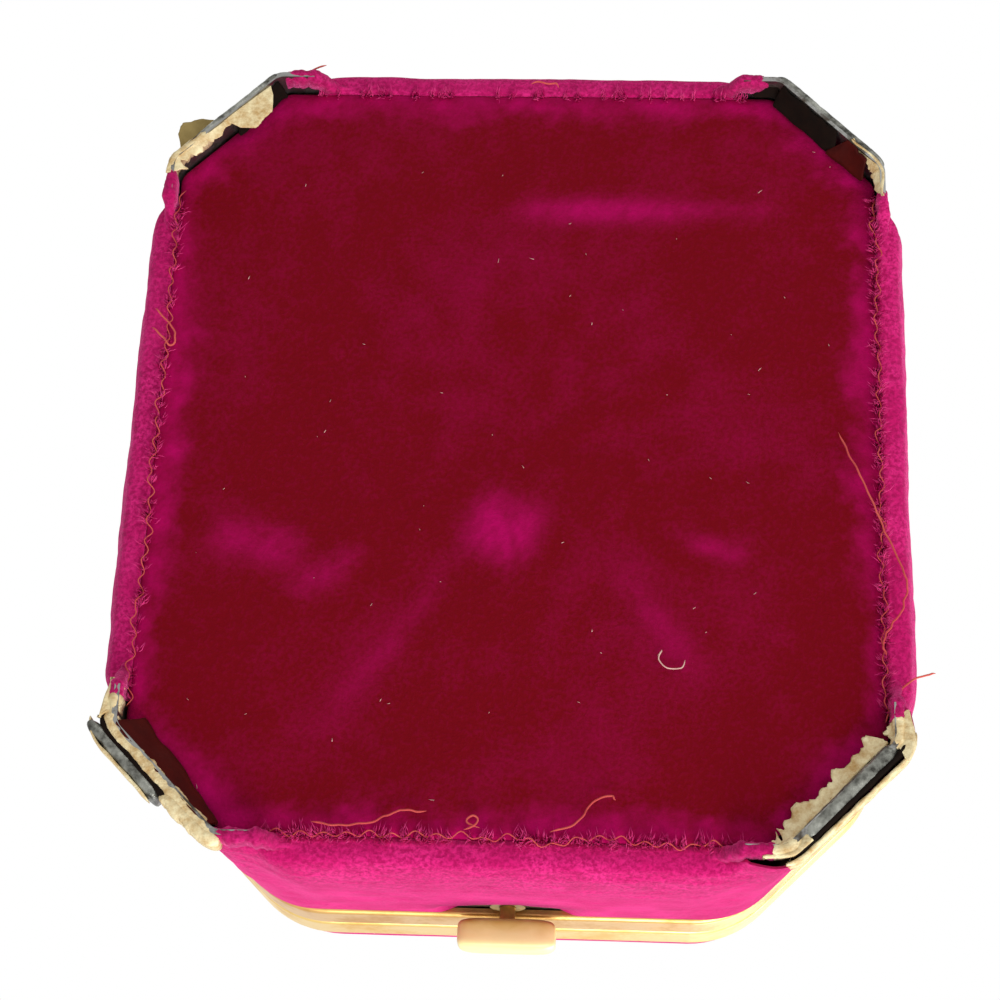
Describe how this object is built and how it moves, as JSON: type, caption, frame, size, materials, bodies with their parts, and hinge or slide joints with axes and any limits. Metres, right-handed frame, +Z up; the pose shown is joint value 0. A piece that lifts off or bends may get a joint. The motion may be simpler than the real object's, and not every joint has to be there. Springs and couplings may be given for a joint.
{
  "type": "ring box",
  "caption": "Small velvet ring box with cut corners, gilt rims, corner feet, a domed hinged lid, a push-button catch and a padded slot for rings",
  "frame": {"origin": "on the surface the box stands on, under the middle of the whole box, button and hinge included", "axes": "+Z up from the four feet to the lid; the push button faces -Y and the hinge is at +Y; +X is to the right of someone facing the button"},
  "size_m": [0.0588, 0.0676, 0.043],
  "materials": {
    "magenta_velvet": "napped velvet",
    "crimson_velvet": "napped velvet",
    "tan_paper": "kraft paper",
    "pasteboard": "plain card",
    "pine": "sawn",
    "tinplate": "dull tinplate",
    "steel": "blued spring steel",
    "gilt_brass": "worn gilt",
    "brass": "dull brass",
    "ivory_satin": "satin",
    "ivory_celluloid": "aged, polished"
  },
  "bodies": {
    "base": {"base_shell": "tinplate", "base_velvet": "magenta_velvet", "bottom_velvet": "crimson_velvet", "bottom_card": "pasteboard", "foot_paper_front_left": "tan_paper", "foot_paper_front_right": "tan_paper", "foot_paper_back_left": "tan_paper", "foot_paper_back_right": "tan_paper", "base_rim": "gilt_brass", "tray_wall": "pasteboard", "tray_platform": "pasteboard", "pad_roll_front": "crimson_velvet", "pad_roll_back": "crimson_velvet", "tray_border": "ivory_satin", "front_ledge": "ivory_satin", "ledge_blocks": "pine", "hinge_leaf_base": "gilt_brass", "hinge_pin": "steel", "hinge_rivets_base": "brass", "button_eyelet": "brass", "catch_root": "steel", "catch_rivets": "brass"},
    "button": {"push_button": "ivory_celluloid", "button_shank": "brass"},
    "catch": {"catch_blade": "steel"},
    "lid": {"lid_shell": "tinplate", "lid_velvet": "magenta_velvet", "lid_rim": "gilt_brass", "lid_board": "pasteboard", "lid_pad": "ivory_satin", "lid_frill": "ivory_satin", "hinge_leaf_lid": "gilt_brass", "hinge_rivets_lid": "brass", "strike_plate": "steel", "strike_rivets": "brass"}
  },
  "joints": [
    {"name": "lid_hinge", "type": "hinge", "parent": "base", "child": "lid", "pos_m": [0, 0.03268, 0.02315], "axis": [-1, 0, 0], "range_deg": [0, 100]},
    {"name": "button_slide", "type": "slide", "parent": "base", "child": "button", "axis": [0, 1, 0], "range_m": [0, 0.0008], "stiffness_N_per_m": 800, "springref_m": -0.0005},
    {"name": "catch_bend", "type": "hinge", "parent": "base", "child": "catch", "pos_m": [0, -0.02817, 0.008], "axis": [-1, 0, 0], "range_deg": [0, 4.7]}
  ],
  "couplings": [
    {"joint": "catch_bend", "follows": "button_slide", "rad_per_m": 100}
  ]
}
